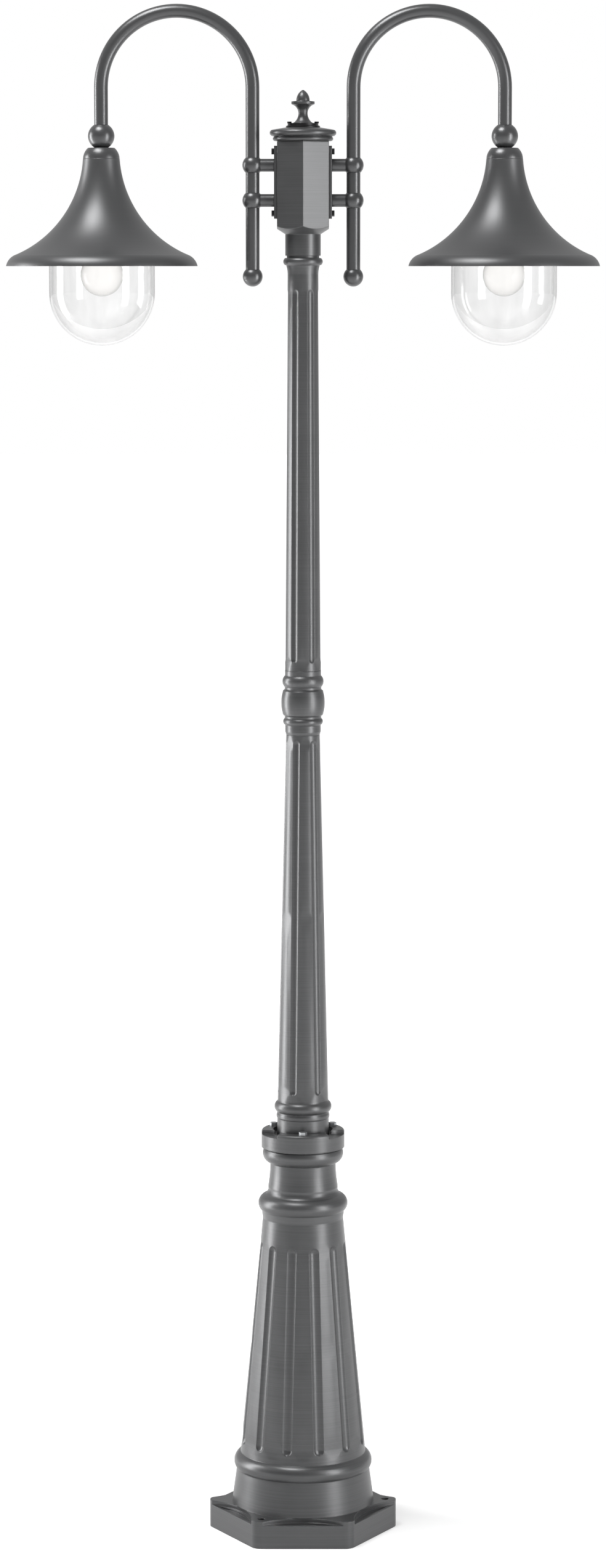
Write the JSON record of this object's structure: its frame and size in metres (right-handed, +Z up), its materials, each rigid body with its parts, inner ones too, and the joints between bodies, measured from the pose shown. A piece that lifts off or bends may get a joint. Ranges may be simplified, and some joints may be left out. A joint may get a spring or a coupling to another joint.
{
  "type": "street lamp post",
  "caption": "Fluted two-arm street lamp post on a hexagonal foot, with swan-neck arms, wide trumpet shades and clear screw-in globes over screw-in bulbs.",
  "frame": {"origin": "on the floor, at the post's vertical axis, under the hexagonal foot", "axes": "+Z up along the post; the two arms reach along +X and -X; a flat of the foot faces -Y"},
  "size_m": [0.9182, 0.2962, 2.4],
  "materials": {
    "cast_paint": "satin anthracite paint on cast aluminium",
    "arm_paint": "satin anthracite paint on steel tube",
    "shade_paint": "satin anthracite paint on spun aluminium",
    "bolt_steel": "blackened steel",
    "zinc_steel": "zinc-plated steel",
    "brass_metal": "bare brass",
    "nickel_cap": "nickel-plated shell",
    "seal_rubber": "black sealing rubber",
    "cable_rubber": "black cable sheath",
    "terminal_plastic": "pale moulded plastic",
    "holder_plastic": "white glazed lampholder",
    "clear_glass": "clear blown glass",
    "bulb_glass": "opal bulb glass",
    "bulb_core": "glass stem with light-emitting rods"
  },
  "bodies": {
    "post": {"base_casting": "cast_paint", "collar_ring": "cast_paint", "collar_bolts": "zinc_steel", "lower_shaft": "cast_paint", "joint_sleeve": "cast_paint", "joint_spigot": "zinc_steel", "upper_shaft": "cast_paint", "head_box": "cast_paint", "head_gasket": "seal_rubber", "head_cover": "cast_paint", "finial_plate": "bolt_steel", "finial_screws": "bolt_steel", "finial": "cast_paint", "terminal_block": "terminal_plastic", "terminal_rail": "zinc_steel", "earth_screw": "brass_metal", "neck_screw": "bolt_steel", "left_wall_plate": "arm_paint", "left_plate_screws": "bolt_steel", "left_upper_cross_tube": "arm_paint", "left_upper_tee_ball": "arm_paint", "left_lower_cross_tube": "arm_paint", "left_lower_tee_ball": "arm_paint", "left_arm_tube": "arm_paint", "left_arm_cable": "cable_rubber", "left_end_ball": "arm_paint", "left_lamp_ball": "arm_paint", "left_nipple": "zinc_steel", "left_shade_cap": "arm_paint", "left_shade": "shade_paint", "left_lampholder": "holder_plastic", "left_gallery_ring": "arm_paint", "right_wall_plate": "arm_paint", "right_plate_screws": "bolt_steel", "right_upper_cross_tube": "arm_paint", "right_upper_tee_ball": "arm_paint", "right_lower_cross_tube": "arm_paint", "right_lower_tee_ball": "arm_paint", "right_arm_tube": "arm_paint", "right_arm_cable": "cable_rubber", "right_end_ball": "arm_paint", "right_lamp_ball": "arm_paint", "right_nipple": "zinc_steel", "right_shade_cap": "arm_paint", "right_shade": "shade_paint", "right_lampholder": "holder_plastic", "right_gallery_ring": "arm_paint"},
    "left_globe_seal": {"left_globe_gasket": "seal_rubber"},
    "left_globe_jar": {"left_globe": "clear_glass"},
    "left_bulb_base": {"left_bulb_contact": "brass_metal"},
    "left_bulb": {"left_bulb_glass": "bulb_glass", "left_bulb_cap": "nickel_cap", "left_bulb_stem": "bulb_core"},
    "right_globe_seal": {"right_globe_gasket": "seal_rubber"},
    "right_globe_jar": {"right_globe": "clear_glass"},
    "right_bulb_base": {"right_bulb_contact": "brass_metal"},
    "right_bulb": {"right_bulb_glass": "bulb_glass", "right_bulb_cap": "nickel_cap", "right_bulb_stem": "bulb_core"}
  },
  "joints": [
    {"name": "left_globe_drop", "type": "slide", "parent": "post", "child": "left_globe_seal", "axis": [0, 0, -1], "range_m": [0, 0.0101]},
    {"name": "left_globe_turn", "type": "hinge", "parent": "left_globe_seal", "child": "left_globe_jar", "pos_m": [-0.311, 0, 2.06], "axis": [0, 0, -1], "range_deg": [0, 900]},
    {"name": "left_bulb_drop", "type": "slide", "parent": "post", "child": "left_bulb_base", "axis": [0, 0, -1], "range_m": [0, 0.0183]},
    {"name": "left_bulb_turn", "type": "hinge", "parent": "left_bulb_base", "child": "left_bulb", "pos_m": [-0.311, 0, 2.06], "axis": [0, 0, -1], "range_deg": [0, 1800]},
    {"name": "right_globe_drop", "type": "slide", "parent": "post", "child": "right_globe_seal", "axis": [0, 0, -1], "range_m": [0, 0.0101]},
    {"name": "right_globe_turn", "type": "hinge", "parent": "right_globe_seal", "child": "right_globe_jar", "pos_m": [0.311, 0, 2.06], "axis": [0, 0, -1], "range_deg": [0, 900]},
    {"name": "right_bulb_drop", "type": "slide", "parent": "post", "child": "right_bulb_base", "axis": [0, 0, -1], "range_m": [0, 0.0183]},
    {"name": "right_bulb_turn", "type": "hinge", "parent": "right_bulb_base", "child": "right_bulb", "pos_m": [0.311, 0, 2.06], "axis": [0, 0, -1], "range_deg": [0, 1800]}
  ],
  "couplings": [
    {"joint": "left_globe_drop", "follows": "left_globe_turn", "m_per_rad": 0.00063662},
    {"joint": "left_bulb_drop", "follows": "left_bulb_turn", "m_per_rad": 0.00057773},
    {"joint": "right_globe_drop", "follows": "right_globe_turn", "m_per_rad": 0.00063662},
    {"joint": "right_bulb_drop", "follows": "right_bulb_turn", "m_per_rad": 0.00057773}
  ]
}
